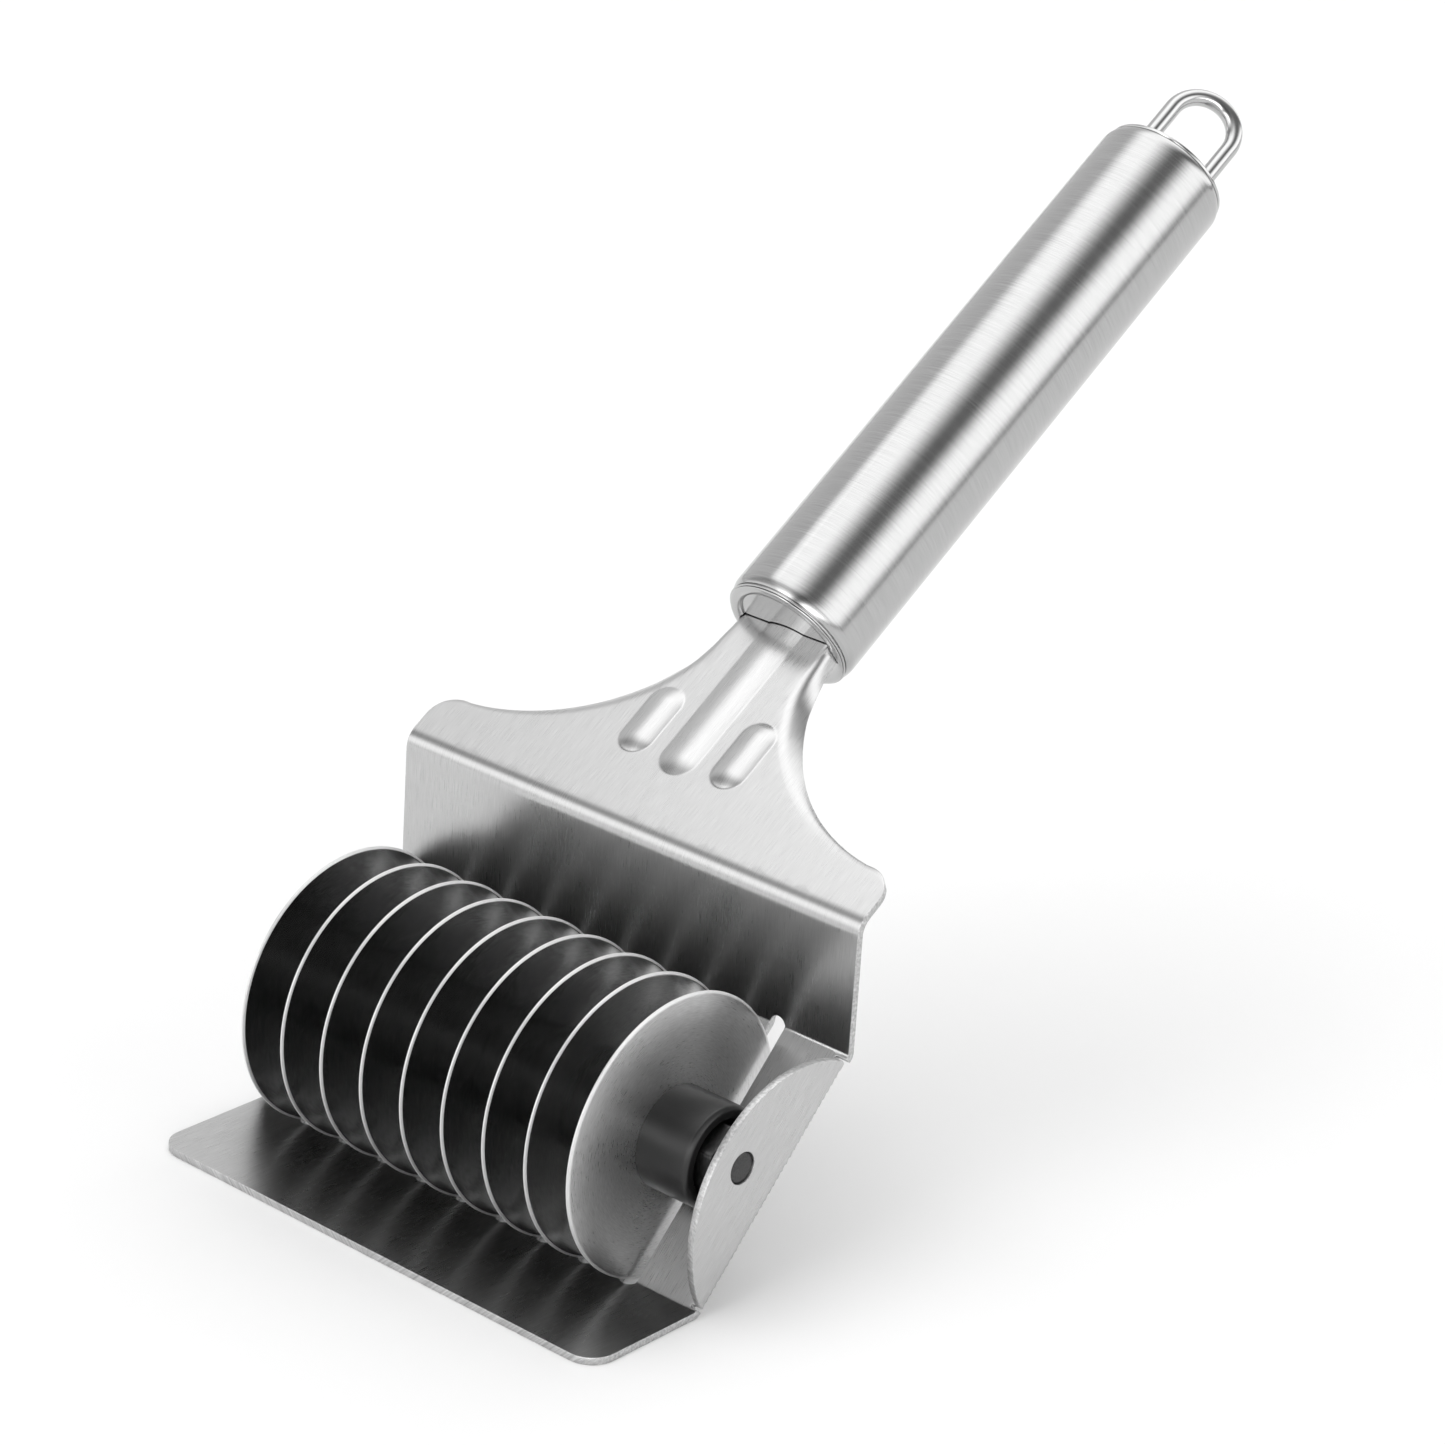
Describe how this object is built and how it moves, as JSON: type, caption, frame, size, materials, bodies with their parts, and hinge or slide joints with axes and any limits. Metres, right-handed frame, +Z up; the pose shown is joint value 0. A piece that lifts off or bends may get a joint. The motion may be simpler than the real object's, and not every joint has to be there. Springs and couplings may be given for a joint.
{
  "type": "noodle roller cutter",
  "caption": "Hand-held roller cutter for noodle dough: round cutters on an axle in a bent, slotted sheet frame with a tubular handle and hanging loop.",
  "frame": {"origin": "on the table, under the middle of the whole tool's box, with the lip's underside and the lowest points of the cutters on Z = 0", "axes": "+X along the axle towards the clamping nut, +Y from the front lip towards the handle, +Z up"},
  "size_m": [0.0936, 0.1928, 0.1474],
  "materials": {
    "sheet_steel": "brushed",
    "handle_steel": "brushed",
    "cap_steel": "polished",
    "wire_steel": "polished",
    "cutter_steel": "polished",
    "dark_steel": "oxidised",
    "hub_plastic": "matte"
  },
  "bodies": {
    "frame": {"frame_sheet": "sheet_steel", "handle_tube": "handle_steel", "handle_front_cap": "cap_steel", "handle_rear_cap": "cap_steel", "hanging_loop": "wire_steel"},
    "roller": {"axle": "dark_steel", "cutter_disc_1": "cutter_steel", "cutter_disc_2": "cutter_steel", "cutter_disc_3": "cutter_steel", "cutter_disc_4": "cutter_steel", "cutter_disc_5": "cutter_steel", "cutter_disc_6": "cutter_steel", "cutter_disc_7": "cutter_steel", "cutter_disc_8": "cutter_steel", "cutter_disc_9": "cutter_steel", "disc_spacer_1": "hub_plastic", "disc_spacer_2": "hub_plastic", "disc_spacer_3": "hub_plastic", "disc_spacer_4": "hub_plastic", "disc_spacer_5": "hub_plastic", "disc_spacer_6": "hub_plastic", "disc_spacer_7": "hub_plastic", "disc_spacer_8": "hub_plastic", "left_collar": "hub_plastic", "right_collar": "hub_plastic", "axle_nut": "dark_steel"}
  },
  "joints": [
    {"name": "roller_spin", "type": "hinge", "parent": "frame", "child": "roller", "pos_m": [0, -0.06665, 0.0225], "axis": [1, 0, 0], "continuous": true}
  ]
}
